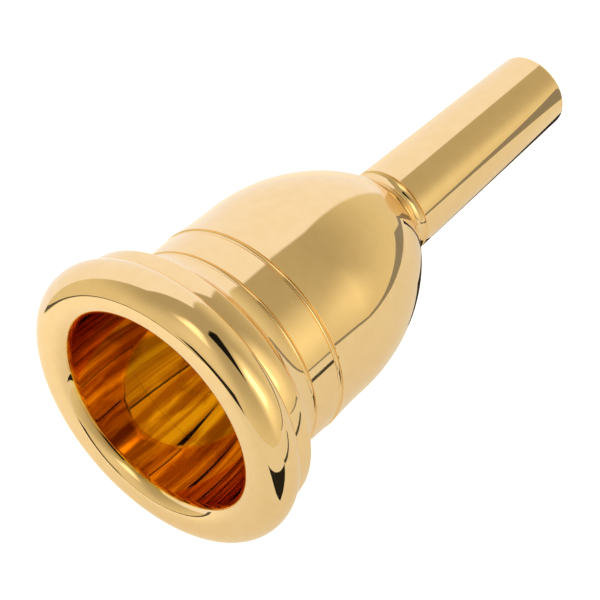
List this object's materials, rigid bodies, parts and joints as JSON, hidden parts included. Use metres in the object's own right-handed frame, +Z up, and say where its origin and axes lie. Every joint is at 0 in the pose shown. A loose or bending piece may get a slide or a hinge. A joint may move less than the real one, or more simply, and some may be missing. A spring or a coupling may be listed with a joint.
{
  "type": "brass instrument mouthpiece",
  "caption": "Tuba mouthpiece in gold-plated brass with a rounded rim, a deep bowl-shaped cup, a plain band and a tapered shank, which unscrews into rim, cup and shank.",
  "frame": {"origin": "centre of the bottom of the bounding box, on the surface that the mouthpiece lies on", "axes": "+Z up; +X runs along the mouthpiece from the rim towards the shank, whose axis dips 11.26 degrees below +X because the wide rim and the end of the shank both touch the surface; +Y to the side"},
  "size_m": [0.101, 0.05, 0.0492],
  "materials": {
    "gold_plate": "mirror-polished gold plate on brass",
    "seal_rubber": "matt black nitrile rubber"
  },
  "bodies": {
    "shank_body": {"shank": "gold_plate"},
    "shank_seal_body": {"shank_seal": "seal_rubber"},
    "cup_body": {"cup": "gold_plate"},
    "rim_seal_body": {"rim_seal": "seal_rubber"},
    "rim_body": {"rim": "gold_plate"}
  },
  "joints": [
    {"name": "cup_travel", "type": "slide", "parent": "shank_body", "child": "shank_seal_body", "axis": [-0.9807, 0, 0.1953], "range_m": [0, 0.006]},
    {"name": "cup_turn", "type": "hinge", "parent": "shank_seal_body", "child": "cup_body", "pos_m": [0.00274, 0, 0.01561], "axis": [-0.9807, 0, 0.1953], "range_deg": [0, 2160]},
    {"name": "rim_travel", "type": "slide", "parent": "cup_body", "child": "rim_seal_body", "axis": [-0.9807, 0, 0.1953], "range_m": [0, 0.0045]},
    {"name": "rim_turn", "type": "hinge", "parent": "rim_seal_body", "child": "rim_body", "pos_m": [-0.03747, 0, 0.02362], "axis": [-0.9807, 0, 0.1953], "range_deg": [0, 1620]}
  ],
  "couplings": [
    {"joint": "cup_travel", "follows": "cup_turn", "m_per_rad": 0.00015915},
    {"joint": "rim_travel", "follows": "rim_turn", "m_per_rad": 0.00015915}
  ]
}
